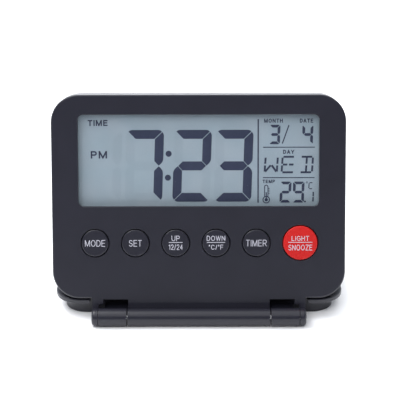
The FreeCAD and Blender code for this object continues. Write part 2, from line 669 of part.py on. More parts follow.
def case_parts():
    """Every part that is drawn in the face frame, by node name."""
    parts = {
        "front_shell": front_shell(),
        "rear_shell": rear_shell(),
        "hinge_pins": hinge_pins(),
        "lens_adhesive": window_ring(WALL, LENS_Y, ADHESIVE_MARGIN),
        "display_lens": box(-LENS_X, LENS_X, LENS_Y, GASKET_Y, *LENS_Z),
        "dust_gasket": window_ring(GASKET_Y, POLARISER_Y, GASKET_MARGIN),
        "lcd_polarisers": lcd_polarisers(),
        "lcd_front_glass": box(-GLASS_X, GLASS_X, FRONT_GLASS_Y, REAR_GLASS_Y, *GLASS_Z),
        "lcd_rear_glass": box(-GLASS_X, GLASS_X, REAR_GLASS_Y, REAR_POLARISER_Y,
                              LEDGE_Z, GLASS_Z[1]),
        "light_guide": box(*GUIDE_X, GUIDE_Y, REFLECTOR_Y, *GLASS_Z),
        "reflector_sheet": box(*GUIDE_X, REFLECTOR_Y, REFLECTOR_Y + REFLECTOR_T, *GLASS_Z),
        "backlight_led": box(*LED_X, GUIDE_Y, BOARD_Y, *LED_Z),
        "zebra_strip": box(-ZEBRA_X, ZEBRA_X, REAR_POLARISER_Y, BOARD_Y, *ZEBRA_Z),
        "lcd_frame": lcd_frame(),
        "main_board": main_board(),
        "controller_blob": controller_blob(),
        "quartz_crystal": quartz_crystal(),
        "smd_parts": smd_parts(),
        "buzzer_case": buzzer_case(),
        "piezo_disc": piezo_disc(),
        "temperature_sensor": temperature_sensor(),
        "reset_switch": reset_switch(),
        "tact_switch_bases": tact_switch_bases(),
        "battery_cells": battery_cells(),
        "negative_spring": negative_spring(),
        "positive_contact": contact_plate(1),
        "battery_door": battery_door(),
        "case_screws": case_screws(),
        "board_screws": board_screws(),
    }
    for name, x, r in BUTTONS:
        parts[name + "_button"] = button_cap(x, r)
        parts[name + "_plunger"] = switch_plunger(x)
    return parts


def main():
    os.makedirs("parts", exist_ok=True)
    nodes = {name: stand(shape) for name, shape in case_parts().items()}
    nodes["cover_shell"] = cover_shell()
    for name, shape in nodes.items():
        if not shape.isValid():
            print("not valid:", name)
        shape.exportStep("parts/%s.step" % name)
    whole = Part.makeCompound(list(nodes.values())).optimalBoundingBox()
    print(len(nodes), "nodes, box x %.2f %.2f y %.2f %.2f z %.2f %.2f" % (
        whole.XMin, whole.XMax, whole.YMin, whole.YMax, whole.ZMin, whole.ZMax))


main()
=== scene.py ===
import json
import math

import bmesh
import bpy
from mathutils import Matrix, Vector


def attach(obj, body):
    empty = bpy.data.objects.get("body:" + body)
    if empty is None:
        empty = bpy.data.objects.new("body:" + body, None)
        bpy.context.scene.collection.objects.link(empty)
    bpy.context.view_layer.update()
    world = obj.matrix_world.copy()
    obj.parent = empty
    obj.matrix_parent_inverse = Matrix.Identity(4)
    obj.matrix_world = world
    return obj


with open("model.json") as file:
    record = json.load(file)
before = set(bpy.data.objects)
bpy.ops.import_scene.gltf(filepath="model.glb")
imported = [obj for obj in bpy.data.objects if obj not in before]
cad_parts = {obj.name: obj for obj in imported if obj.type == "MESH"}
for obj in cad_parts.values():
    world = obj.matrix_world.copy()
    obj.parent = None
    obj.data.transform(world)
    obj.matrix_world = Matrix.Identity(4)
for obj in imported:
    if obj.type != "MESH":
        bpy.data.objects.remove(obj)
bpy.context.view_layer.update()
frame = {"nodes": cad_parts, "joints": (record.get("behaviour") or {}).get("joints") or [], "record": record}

# Folding digital alarm clock: materials, display figures, button print, studio and camera.
# Lengths are in metres, but the layouts of the display and of the caps, and every size whose name
# ends in _mm or _MM, are in millimetres.  The case leans back, so everything on its face is laid
# out in the face's own directions: RIGHT, UP (along the face) and INWARD (into the case).

MM = 0.001


def joint(name):
    """The frame's entry for a joint."""
    return next(entry for entry in frame["joints"] if entry["name"] == name)


RIGHT = Vector((1, 0, 0))
INWARD = Vector(joint("mode_press")["axis"]).normalized()
UP = RIGHT.cross(INWARD)


def reach(node, direction):
    """Least and greatest place of a node's mesh along a direction."""
    places = [vertex.co.dot(direction) for vertex in frame["nodes"][node].data.vertices]
    return min(places), max(places)


def middle(node, direction):
    """Middle of a node's mesh along a direction."""
    low, high = reach(node, direction)
    return (low + high) / 2


# ---------------------------------------------------------------- materials

def new_material(name):
    """Material with an empty node tree but for a Principled shader and the output."""
    made = bpy.data.materials.new(name)
    made.use_nodes = True
    tree = made.node_tree
    shader = tree.nodes["Principled BSDF"]
    return made, tree, shader


def noise(tree, size_mm, detail=3.0, stretch=(1, 1, 1), seed=0.0):
    """Noise texture in object space whose features are about size_mm across."""
    place = tree.nodes.new("ShaderNodeTexCoord")
    spread = tree.nodes.new("ShaderNodeMapping")
    spread.inputs["Scale"].default_value = stretch
    spread.inputs["Location"].default_value = (seed, seed, seed)
    texture = tree.nodes.new("ShaderNodeTexNoise")
    texture.inputs["Scale"].default_value = 1 / (size_mm * MM)
    texture.inputs["Detail"].default_value = detail
    tree.links.new(place.outputs["Object"], spread.inputs["Vector"])
    tree.links.new(spread.outputs["Vector"], texture.inputs["Vector"])
    return texture.outputs["Fac"]


TONE_STOPS = (0.3, 0.7)


def two_tone(tree, factor, first, second):
    """Colour that runs between two colours with a factor."""
    ramp = tree.nodes.new("ShaderNodeValToRGB")
    for element, stop, colour in zip(ramp.color_ramp.elements, TONE_STOPS, (first, second)):
        element.position = stop
        element.color = (*colour, 1)
    tree.links.new(factor, ramp.inputs["Fac"])
    return ramp.outputs["Color"]


def between(tree, factor, low, high):
    """Number that runs between two limits with a factor."""
    span = tree.nodes.new("ShaderNodeMapRange")
    span.inputs["To Min"].default_value = low
    span.inputs["To Max"].default_value = high
    tree.links.new(factor, span.inputs["Value"])
    return span.outputs["Result"]


def shaded(colour, share):
    """Colour with every channel multiplied by a share."""
    return tuple(channel * share for channel in colour)


def bump(tree, shader, height, depth_mm):
    """Fine relief from a height output."""
    node = tree.nodes.new("ShaderNodeBump")
    node.inputs["Strength"].default_value = 1.0
    node.inputs["Distance"].default_value = depth_mm * MM
    tree.links.new(height, node.inputs["Height"])
    tree.links.new(node.outputs["Normal"], shader.inputs["Normal"])


PLASTIC_TONE_MM = 9.0
PLASTIC_GLOSS_MM = 6.0
PLASTIC_GLOSS_SWING = 0.02
PLASTIC_GRAIN_MM = 0.35


def plastic(name, colour, rough, grain_depth_mm=0.003, shift=0.06, specular=0.5):
    """Moulded plastic: a fine spark-eroded grain, with slow changes of tone and gloss."""
    made, tree, shader = new_material(name)
    clouds = noise(tree, PLASTIC_TONE_MM)
    tone = two_tone(tree, clouds, shaded(colour, 1 - shift), shaded(colour, 1 + shift))
    tree.links.new(tone, shader.inputs["Base Color"])
    gloss = between(tree, noise(tree, PLASTIC_GLOSS_MM, seed=3.0),
                    rough - PLASTIC_GLOSS_SWING, rough + PLASTIC_GLOSS_SWING)
    tree.links.new(gloss, shader.inputs["Roughness"])
    shader.inputs["Specular IOR Level"].default_value = specular
    grain = noise(tree, PLASTIC_GRAIN_MM, detail=2.0, seed=7.0)
    bump(tree, shader, grain, grain_depth_mm)
    return made


METAL_LINE_MM = 0.12
METAL_LINE_DEPTH_MM = 0.003
METAL_SHADE = 0.85
METAL_GLOSS_SWING = (-0.06, 0.08)


def metal(name, colour, rough, stretch=(0.1, 1, 1)):
    """Drawn or ground metal with fine lines along one direction."""
    made, tree, shader = new_material(name)
    lines = noise(tree, METAL_LINE_MM, detail=4.0, stretch=stretch)
    tone = two_tone(tree, lines, shaded(colour, METAL_SHADE), colour)
    tree.links.new(tone, shader.inputs["Base Color"])
    gloss = between(tree, lines, *(rough + swing for swing in METAL_GLOSS_SWING))
    tree.links.new(gloss, shader.inputs["Roughness"])
    shader.inputs["Metallic"].default_value = 1.0
    bump(tree, shader, lines, METAL_LINE_DEPTH_MM)
    return made


FRESNEL_POWER = 5.0
FRESNEL_STRAIGHT_ON = 0.035
SHEET_SMEAR_MM = 14.0
SHEET_SHADE = 0.985
SHEET_GLOSS_SPREAD = (0.7, 1.3)


def see_through(name, tint, gloss_rough):
    """Thin clear sheet: light passes straight through and only the sheen is added."""
    made, tree, shader = new_material(name)
    tree.nodes.remove(shader)
    through = tree.nodes.new("ShaderNodeBsdfTransparent")
    smear = noise(tree, SHEET_SMEAR_MM)
    tone = two_tone(tree, smear, shaded(tint, SHEET_SHADE), tint)
    tree.links.new(tone, through.inputs["Color"])
    sheen = tree.nodes.new("ShaderNodeBsdfGlossy")
    gloss = between(tree, smear, *(gloss_rough * share for share in SHEET_GLOSS_SPREAD))
    tree.links.new(gloss, sheen.inputs["Roughness"])
    facing = tree.nodes.new("ShaderNodeLayerWeight")
    steep = tree.nodes.new("ShaderNodeMath")
    steep.operation = "POWER"
    steep.inputs[1].default_value = FRESNEL_POWER
    tree.links.new(facing.outputs["Facing"], steep.inputs[0])
    mirror = between(tree, steep.outputs["Value"], FRESNEL_STRAIGHT_ON, 1.0)
    mixed = tree.nodes.new("ShaderNodeMixShader")
    tree.links.new(mirror, mixed.inputs["Fac"])
    tree.links.new(through.outputs["BSDF"], mixed.inputs[1])
    tree.links.new(sheen.outputs["BSDF"], mixed.inputs[2])
    tree.links.new(mixed.outputs["Shader"], tree.nodes["Material Output"].inputs["Surface"])
    return made


LCD_TONES = ((0.262, 0.322, 0.362), (0.287, 0.337, 0.378))
LCD_PATCH_MM = 11.0
LCD_GLOSS_MM = 0.4
LCD_ROUGHNESS = (0.5, 0.6)
LCD_GRAIN_MM = 0.2
LCD_GRAIN_DEPTH_MM = 0.002


def display_ground(name, share):
    """Display seen through its polariser: pale blue grey with broad, faint unevenness.

    Segments that are switched off take a slightly smaller share of the light.
    """
    made, tree, shader = new_material(name)
    patches = noise(tree, LCD_PATCH_MM, detail=1.0)
    ground = two_tone(tree, patches, *(shaded(tone, share) for tone in LCD_TONES))
    tree.links.new(ground, shader.inputs["Base Color"])
    gloss = between(tree, noise(tree, LCD_GLOSS_MM), *LCD_ROUGHNESS)
    tree.links.new(gloss, shader.inputs["Roughness"])
    shader.inputs["Specular IOR Level"].default_value = 0.2
    bump(tree, shader, noise(tree, LCD_GRAIN_MM), LCD_GRAIN_DEPTH_MM)
    return made


BOARD_COLOURS = {"Color1": (0.010, 0.085, 0.030), "Color2": (0.012, 0.105, 0.038),
                 "Mortar": (0.030, 0.190, 0.070)}
TRACK_MM = 6.0
TRACK_DEPTH_MM = 0.02
BOARD_GLOSS_MM = 1.5
BOARD_ROUGHNESS = (0.25, 0.35)


def board_material():
    """Green solder mask with a faint pattern of tracks under it."""
    made, tree, shader = new_material("board_green")
    place = tree.nodes.new("ShaderNodeTexCoord")
    tracks = tree.nodes.new("ShaderNodeTexBrick")
    tracks.inputs["Scale"].default_value = 1 / (TRACK_MM * MM)
    for socket, colour in BOARD_COLOURS.items():
        tracks.inputs[socket].default_value = (*colour, 1)
    tree.links.new(place.outputs["Object"], tracks.inputs["Vector"])
    tree.links.new(tracks.outputs["Color"], shader.inputs["Base Color"])
    gloss = between(tree, noise(tree, BOARD_GLOSS_MM), *BOARD_ROUGHNESS)
    tree.links.new(gloss, shader.inputs["Roughness"])
    bump(tree, shader, tracks.outputs["Fac"], TRACK_DEPTH_MM)
    return made


ZEBRA_TONES = ((0.02, 0.02, 0.02), (0.55, 0.32, 0.36))
ZEBRA_BAND_MM = 1.2


def zebra_material():
    """Silicone strip of fine conducting and insulating layers."""
    made, tree, shader = new_material("zebra_rubber")
    place = tree.nodes.new("ShaderNodeTexCoord")
    bands = tree.nodes.new("ShaderNodeTexWave")
    bands.inputs["Scale"].default_value = 1 / (ZEBRA_BAND_MM * MM)
    tree.links.new(place.outputs["Object"], bands.inputs["Vector"])
    tone = two_tone(tree, bands.outputs["Fac"], *ZEBRA_TONES)
    tree.links.new(tone, shader.inputs["Base Color"])
    shader.inputs["Roughness"].default_value = 0.7
    return made


CELL_TONES = ((0.012, 0.012, 0.015), (0.45, 0.20, 0.07))
CELL_LENGTH = 44.5 * MM


def cell_material():
    """Battery jacket: dark wrap with a copper-coloured band at the positive end."""
    made, tree, shader = new_material("cell_jacket")
    place = tree.nodes.new("ShaderNodeTexCoord")
    split = tree.nodes.new("ShaderNodeSeparateXYZ")
    tree.links.new(place.outputs["Object"], split.inputs["Vector"])
    band = tree.nodes.new("ShaderNodeMath")
    band.operation = "PINGPONG"
    band.inputs[1].default_value = CELL_LENGTH
    tree.links.new(split.outputs["X"], band.inputs[0])
    ratio = between(tree, band.outputs["Value"], 0.0, 1.0)
    ratio.node.inputs["From Max"].default_value = CELL_LENGTH
    tone = two_tone(tree, ratio, *CELL_TONES)
    tree.links.new(tone, shader.inputs["Base Color"])
    shader.inputs["Metallic"].default_value = 0.6
    shader.inputs["Roughness"].default_value = 0.3
    return made


INK_CLOUD_MM = 1.2
INK_SHADE = 0.92


def ink(name, colour, rough):
    """Printed or electronic ink with a slight change of density."""
    made, tree, shader = new_material(name)
    tone = two_tone(tree, noise(tree, INK_CLOUD_MM), shaded(colour, INK_SHADE), colour)
    tree.links.new(tone, shader.inputs["Base Color"])
    shader.inputs["Roughness"].default_value = rough
    shader.inputs["Specular IOR Level"].default_value = 0.2
    return made


CASE_COLOUR = (0.0138, 0.0138, 0.0215)


def make_materials():
    """One material for each of the record's slots."""
    return {
        "case_plastic": plastic("case_plastic", CASE_COLOUR, 0.33),
        "button_black": plastic("button_black", CASE_COLOUR, 0.30),
        "button_red": plastic("button_red", (0.45, 0.008, 0.007), 0.42, specular=0.38),
        "pin_steel": metal("pin_steel", (0.70, 0.70, 0.72), 0.25),
        "lens_clear": see_through("lens_clear", (0.99, 0.995, 1.0), 0.08),
        "lcd_glass": see_through("lcd_glass", (0.93, 0.96, 0.97), 0.03),
        "lcd_panel": display_ground("lcd_panel", 1.0),
        "soft_black": plastic("soft_black", (0.010, 0.010, 0.011), 0.85, grain_depth_mm=0.03),
        "light_guide_clear": see_through("light_guide_clear", (0.95, 0.97, 0.99), 0.1),
        "white_film": plastic("white_film", (0.80, 0.80, 0.80), 0.45),
        "led_white": plastic("led_white", (0.85, 0.83, 0.70), 0.35),
        "zebra_rubber": zebra_material(),
        "frame_white": plastic("frame_white", (0.70, 0.70, 0.68), 0.5),
        "board_green": board_material(),
        "epoxy_black": plastic("epoxy_black", (0.006, 0.006, 0.006), 0.22, grain_depth_mm=0.002),
        "crystal_can": metal("crystal_can", (0.66, 0.66, 0.68), 0.22),
        "chip_ceramic": plastic("chip_ceramic", (0.30, 0.20, 0.12), 0.5, shift=0.3),
        "buzzer_black": plastic("buzzer_black", (0.010, 0.010, 0.010), 0.45),
        "piezo_brass": metal("piezo_brass", (0.78, 0.57, 0.25), 0.3, stretch=(1, 1, 0.2)),
        "switch_black": plastic("switch_black", (0.012, 0.012, 0.012), 0.5),
        "plunger_white": plastic("plunger_white", (0.70, 0.70, 0.68), 0.4),
        "cell_jacket": cell_material(),
        "contact_nickel": metal("contact_nickel", (0.72, 0.69, 0.62), 0.2),
        "screw_steel": metal("screw_steel", (0.55, 0.55, 0.57), 0.3, stretch=(1, 1, 1)),
        "print_white": ink("print_white", (0.50, 0.50, 0.57), 0.55),
        "lcd_ink": ink("lcd_ink", (0.034, 0.040, 0.072), 0.6),
    }


def finish_cad_nodes(materials):
    """Give every carried-over CAD node the material of its slot."""
    for part in frame["record"]["subparts"]:
        mesh = frame["nodes"][part["node"]].data
        mesh.materials.clear()
        mesh.materials.append(materials[part["material_slot"]])


# ---------------------------------------------------------------- flat figures

# Thickness of lit and unlit figures.
INK_T = 0.04 * MM
UNLIT_T = 0.01 * MM
SAME_POINT_SHARE = 0.01


def on_face(origin, x_mm, z_mm, out=0.0):
    """Point x_mm to the right of and z_mm up the face from an origin, and out towards the user."""
    return origin + RIGHT * (x_mm * MM) + UP * (z_mm * MM) - INWARD * out


def arc(cx, cz, rx, rz, start, end, steps=8):
    """Points along an elliptical arc, with angles in degrees."""
    angles = [math.radians(start + (end - start) * i / steps) for i in range(steps + 1)]
    return [(cx + rx * math.cos(a), cz + rz * math.sin(a)) for a in angles]


def disc(cx, cz, r, steps=24):
    return arc(cx, cz, r, r, 0, 360 - 360 / steps, steps - 1)


def stroke(points, width):
    """Ribbon along a line, as (left edge, right edge, closed); open ends are square."""
    line = [Vector(point) for point in points]
    closed = (line[0] - line[-1]).length < SAME_POINT_SHARE * width
    if closed:
        line.pop()
    else:
        line[0] += (line[0] - line[1]).normalized() * width / 2
        line[-1] += (line[-1] - line[-2]).normalized() * width / 2
    left, right = [], []
    last = len(line) - 1
    for i, point in enumerate(line):
        arrive = (point - line[i - 1]).normalized() if closed or i > 0 else None
        ahead = line[0] if i == last else line[i + 1]
        leave = (ahead - point).normalized() if closed or i < last else None
        along = ((arrive or leave) + (leave or arrive)).normalized()
        side = Vector((-along.y, along.x)) * (width / 2) / along.dot(arrive or leave)
        left.append(point + side)
        right.append(point - side)
    return left, right, closed


def add_plate(work, outline, origin, thickness):
    """Closed plate from an outline of (x, z) points."""
    front = [work.verts.new(on_face(origin, x, z, thickness)) for x, z in outline]
    back = [work.verts.new(on_face(origin, x, z)) for x, z in outline]
    work.faces.new(front)
    work.faces.new(back[::-1])
    for i in range(len(outline)):
        j = (i + 1) % len(outline)
        work.faces.new((front[i], back[i], back[j], front[j]))


def add_ribbon(work, ribbon, origin, thickness):
    """Closed plate from a stroke's two edges."""
    left, right, closed = ribbon
    rows = []
    for (x0, z0), (x1, z1) in zip(left, right):
        rows.append([work.verts.new(on_face(origin, x, z, out))
                     for x, z, out in ((x0, z0, 0), (x0, z0, thickness),
                                       (x1, z1, thickness), (x1, z1, 0))])
    pairs = list(zip(rows, rows[1:] + rows[:1])) if closed else list(zip(rows, rows[1:]))
    for near, far in pairs:
        for i in range(4):
            j = (i + 1) % 4
            work.faces.new((near[i], near[j], far[j], far[i]))
    if not closed:
        work.faces.new(rows[0])
        work.faces.new(rows[-1][::-1])


def flat_piece(name, shapes, origin, thickness, material, body):
    """Thin plates on the face, in millimetres: outlines are lists and strokes are tuples."""
    work = bmesh.new()
    for shape in shapes:
        add = add_ribbon if isinstance(shape, tuple) else add_plate
        add(work, shape, origin, thickness)
    bmesh.ops.recalc_face_normals(work, faces=work.faces)
    mesh = bpy.data.meshes.new(name)
    work.to_mesh(mesh)
    work.free()
    mesh.materials.append(material)
    piece = bpy.data.objects.new(name, mesh)
    bpy.context.scene.collection.objects.link(piece)
    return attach(piece, body)


# Capital letters and signs: width as a share of the height, then strokes in a unit square.
BOWL = [(0, 0), (0, 1)] + arc(0.6, 0.73, 0.4, 0.27, 90, -90) + [(0, 0.46)]
GLYPHS = {
    "A": (0.74, [[(0, 0), (0.5, 1)], [(0.5, 1), (1, 0)], [(0.2, 0.32), (0.8, 0.32)]]),
    "C": (0.70, [arc(0.53, 0.5, 0.53, 0.5, 40, 320, 14)]),
    "D": (0.68, [[(0, 0), (0, 1)] + arc(0.45, 0.5, 0.55, 0.5, 90, -90, 12) + [(0, 0)]]),
    "E": (0.60, [[(1, 1), (0, 1), (0, 0), (1, 0)], [(0, 0.52), (0.9, 0.52)]]),
    "F": (0.56, [[(1, 1), (0, 1), (0, 0)], [(0, 0.5), (0.85, 0.5)]]),
    "G": (0.74, [arc(0.5, 0.5, 0.5, 0.5, 45, 315, 14), [(0.6, 0.45), (1, 0.45), (1, 0.1)]]),
    "H": (0.68, [[(0, 0), (0, 1)], [(1, 0), (1, 1)], [(0, 0.52), (1, 0.52)]]),
    "I": (0.13, [[(0.5, 0), (0.5, 1)]]),
    "L": (0.54, [[(0, 1), (0, 0), (1, 0)]]),
    "M": (0.84, [[(0, 0), (0, 1)], [(0.03, 1), (0.5, 0)],
                 [(0.5, 0), (0.97, 1)], [(1, 1), (1, 0)]]),
    "N": (0.70, [[(0, 0), (0, 1)], [(0.02, 1), (0.98, 0)], [(1, 0), (1, 1)]]),
    "O": (0.78, [arc(0.5, 0.5, 0.5, 0.5, 0, 360, 20)]),
    "P": (0.62, [BOWL]),
    "R": (0.67, [BOWL, [(0.5, 0.46), (1, 0)]]),
    "S": (0.64, [arc(0.5, 0.75, 0.46, 0.25, 20, 270) + arc(0.5, 0.25, 0.5, 0.25, 80, -160)]),
    "T": (0.64, [[(0, 1), (1, 1)], [(0.5, 1), (0.5, 0)]]),
    "U": (0.68, [[(0, 1)] + arc(0.5, 0.36, 0.5, 0.36, 180, 360) + [(1, 1)]]),
    "W": (0.98, [[(0, 1), (0.26, 0)], [(0.26, 0), (0.5, 1)],
                 [(0.5, 1), (0.74, 0)], [(0.74, 0), (1, 1)]]),
    "Y": (0.70, [[(0, 1), (0.5, 0.42)], [(1, 1), (0.5, 0.42)], [(0.5, 0.42), (0.5, 0)]]),
    "Z": (0.64, [[(0, 1), (1, 1)], [(1, 1), (0, 0)], [(0, 0), (1, 0)]]),
    "1": (0.34, [[(0, 0.8), (0.9, 0.95)], [(1, 1), (1, 0)]]),
    "2": (0.56, [arc(0.5, 0.7, 0.5, 0.3, 170, -30) + [(0.02, 0.03)], [(0, 0), (1, 0)]]),
    "4": (0.58, [[(0.74, 0), (0.74, 1)], [(0.74, 1), (0, 0.3)], [(0, 0.3), (1, 0.3)]]),
    "/": (0.34, [[(0, 0), (1, 1)]]),
    "\u00b0": (0.26, [arc(0.5, 0.87, 0.5, 0.13, 0, 360, 12)]),
}
LETTER_GAP = 0.17


def word_strokes(text, left, base, size, weight):
    """Strokes of a word fitted to size (width, capital height)."""
    width, height = size
    natural = sum(GLYPHS[sign][0] for sign in text) + LETTER_GAP * (len(text) - 1)
    unit = width / natural
    strokes = []
    for sign in text:
        share, lines = GLYPHS[sign]
        room_x, room_z = share * unit - weight, height - weight
        for line in lines:
            strokes.append(stroke([(left + weight / 2 + u * room_x, base + weight / 2 + v * room_z)
                                   for u, v in line], weight))
        left += (share + LETTER_GAP) * unit
    return strokes


def bar(x0, z0, x1, z1, width):
    """Straight stroke that ends at its two points."""
    along = Vector((x1 - x0, z1 - z0)).normalized()
    side = Vector((-along.y, along.x)) * (width / 2)
    return [(x0 + side.x, z0 + side.y), (x1 + side.x, z1 + side.y),
            (x1 - side.x, z1 - side.y), (x0 - side.x, z0 - side.y)]


def ring(cx, cz, r, width):
    return stroke(arc(cx, cz, r, r, 0, 360, 24), width)


# ---------------------------------------------------------------- display figures

SEGMENTS_OF = {"2": "abged", "3": "abgcd", "4": "fgbc", "7": "abc", "8": "abcdefg", "9": "abcdfg"}
SLANT = 0.033
LETTER_SLANT = 2 * SLANT
LETTER_NICK_SHARE = 0.42
WAIST_STEPS = 4
WAIST_RISE_SHARE = 0.75
WAIST_GAP_SHARE = 0.7


def top_bar(w, h, t, r, gap):
    """Upper segment: mitred ends that follow the figure's rounded corners."""
    left = [(x + gap, z) for x, z in arc(-w + r, h - r, r, r, 135, 90)]
    right = [(x - gap, z) for x, z in arc(w - r, h - r, r, r, 90, 45)]
    return left + right + [(w - t - gap, h - t), (-w + t + gap, h - t)]


def upper_right(w, h, t, r, gap):
    """Upper right segment: rounded at the top corner and drawn in to a point at the waist."""
    corner = [(x, z - gap) for x, z in arc(w - r, h - r, r, r, 45, 0)]
    waist = []
    for i in range(WAIST_STEPS + 1):
        share = i / WAIST_STEPS
        waist.append((w - t * 0.5 * share ** 2,
                      t * WAIST_RISE_SHARE * (1 - share) + gap * WAIST_GAP_SHARE))
    return corner + waist + [(w - t, t * 0.5 + gap), (w - t, h - t - gap)]


def middle_bar(w, t, gap):
    tip, end = w - t * 0.5 - gap, w - t - gap * 0.5
    half = t * 0.5
    return [(-tip, 0), (-end, half), (end, half), (tip, 0), (end, -half), (-end, -half)]


def digit(figure, cx, cz, width, height, t, r, gap):
    """Outlines of a slanted seven-segment figure."""
    w, h = width / 2, height / 2
    a, b, g = top_bar(w, h, t, r, gap), upper_right(w, h, t, r, gap), middle_bar(w, t, gap)
    shapes = {
        "a": a, "b": b, "g": g,
        "c": [(x, -z) for x, z in b], "d": [(x, -z) for x, z in a],
        "f": [(-x, z) for x, z in b], "e": [(-x, -z) for x, z in b]}
    return [[(cx + x + SLANT * z, cz + z) for x, z in shapes[key]] for key in SEGMENTS_OF[figure]]


def letter(strokes, cx, cz, width, height, t):
    """Outlines of a fourteen-segment letter, from strokes between points of a 3 by 3 grid."""
    outlines = []
    for x0, z0, x1, z1 in strokes:
        start = Vector((x0 * (width - t) / 2, z0 * (height - t) / 2))
        end = Vector((x1 * (width - t) / 2, z1 * (height - t) / 2))
        short = (end - start).normalized() * t * LETTER_NICK_SHARE
        start, end = start + short, end - short
        outline = bar(start.x, start.y, end.x, end.y, t)
        outlines.append([(cx + x + LETTER_SLANT * z, cz + z) for x, z in outline])
    return outlines


LEFT_SIDE = [(-1, 1, -1, 0), (-1, 0, -1, -1)]
RIGHT_SIDE = [(1, 1, 1, 0), (1, 0, 1, -1)]
TOP_AND_FOOT = [(-1, 1, 1, 1), (-1, -1, 1, -1)]
LETTERS = {
    "W": LEFT_SIDE + RIGHT_SIDE + [(0, 0, -1, -1), (0, 0, 1, -1)],
    "E": LEFT_SIDE + TOP_AND_FOOT + [(-1, 0, 0, 0), (0, 0, 1, 0)],
    "D": RIGHT_SIDE + TOP_AND_FOOT + [(0, 1, 0, 0), (0, 0, 0, -1)],
}

# Layout of the display, from its middle: to the right and up.
BIG = dict(width=13.85, height=26.6, t=3.3, r=2.1, gap=0.16)
BIG_Z = -2.2
BIG_X = {"hour": -20.0, "ten": -2.4, "unit": 12.9}
BIG_FIGURES = {"hour": "7", "ten": "2", "unit": "3"}
UNLIT_PITCH = 15.3
UNLIT_SHARE = 0.95
COLON_DOTS = ((-11.03, 2.3), (-11.33, -6.55))
COLON_R = 1.12
SMALL = dict(width=4.0, height=7.15, t=1.02, r=0.55, gap=0.14)
DATE_FIGURES = (("3", 28.0, 9.33), ("4", 40.1, 9.3))
DATE_SLASH = (30.8, 5.93, 33.2, 12.76)
SLASH_W = 0.42
WEEKDAY = {"W": 26.75, "E": 33.0, "D": 39.7}
WEEKDAY_Z = -1.78
WEEKDAY_SIZE = dict(width=5.2, height=6.45, t=0.72)
TEMPERATURE = dict(width=4.2, height=7.8, t=1.0, r=0.55, gap=0.14)
TEMPERATURE_FIGURES = (("2", 32.05, -12.0), ("9", 36.85, -12.0))
POINT = (39.25, -15.5, 0.34)
TENTHS_BARS = ((42.3, -11.9, 42.27, -13.6), (42.25, -13.85, 42.2, -15.5))
TENTHS_W = 0.5
DEGREE_RING = (39.95, -8.4, 0.26, 0.2)
CELSIUS_BARS = ((40.9, -8.5, 41.95, -8.5), (40.75, -8.7, 40.65, -10.55),
                (40.8, -10.75, 41.85, -10.75))
CELSIUS_W = 0.36
MAIN_RULE = (21.93, -15.9, 21.93, 15.0)
MAIN_RULE_W = 0.5
PANEL_X = (23.7, 42.75)
PANEL_RULES_Z = (4.63, -6.62)
RULE_W = 0.33
# Words of the display: text, left foot, size of the word, line weight.
WORDS = {
    "time_word": ("TIME", (-40.7, 12.6), (7.3, 2.2), 0.46),
    "pm_word": ("PM", (-39.7, 0.6), (6.0, 2.75), 0.56),
    "month_word": ("MONTH", (24.1, 13.66), (6.85, 1.5), 0.31),
    "date_word": ("DATE", (37.2, 13.66), (4.9, 1.5), 0.31),
    "day_word": ("DAY", (31.1, 2.18), (4.1, 1.5), 0.32),
    "temp_word": ("TEMP", (23.6, -8.65), (4.5, 1.28), 0.28),
}
THERMOMETER = dict(cx=24.95, foot=-16.0, top=-9.4, bulb_r=1.2, tube_r=0.62)
THERMOMETER_W = dict(bulb=0.36, tube=0.32, core=0.42, tick=0.26)
NECK_DROP = 0.2
CORE_R = 0.62
CORE_LIFT = 0.5
CORE_TOP_SHARE = 0.6
TICK_SHARES = (0.52, 0.62, 0.72, 0.82)
TICK_REACH = (0.15, 0.6)


def thermometer(cx, foot, top, bulb_r, tube_r):
    """Small thermometer sign: tube, bulb, filled core and scale ticks."""
    tall = top - foot
    middle_z = foot + bulb_r
    neck = foot + 2 * bulb_r - NECK_DROP
    dome = arc(cx, top - tube_r, tube_r, tube_r, 0, 180)
    shapes = [ring(cx, middle_z, bulb_r, THERMOMETER_W["bulb"]), disc(cx, middle_z, CORE_R)]
    shapes.append(stroke([(cx + tube_r, neck)] + dome + [(cx - tube_r, neck)],
                         THERMOMETER_W["tube"]))
    shapes.append(bar(cx, middle_z + CORE_LIFT, cx, foot + tall * CORE_TOP_SHARE,
                      THERMOMETER_W["core"]))
    for share in TICK_SHARES:
        z = foot + tall * share
        near, far = (cx + tube_r + out for out in TICK_REACH)
        shapes.append(bar(near, z, far, z, THERMOMETER_W["tick"]))
    return shapes


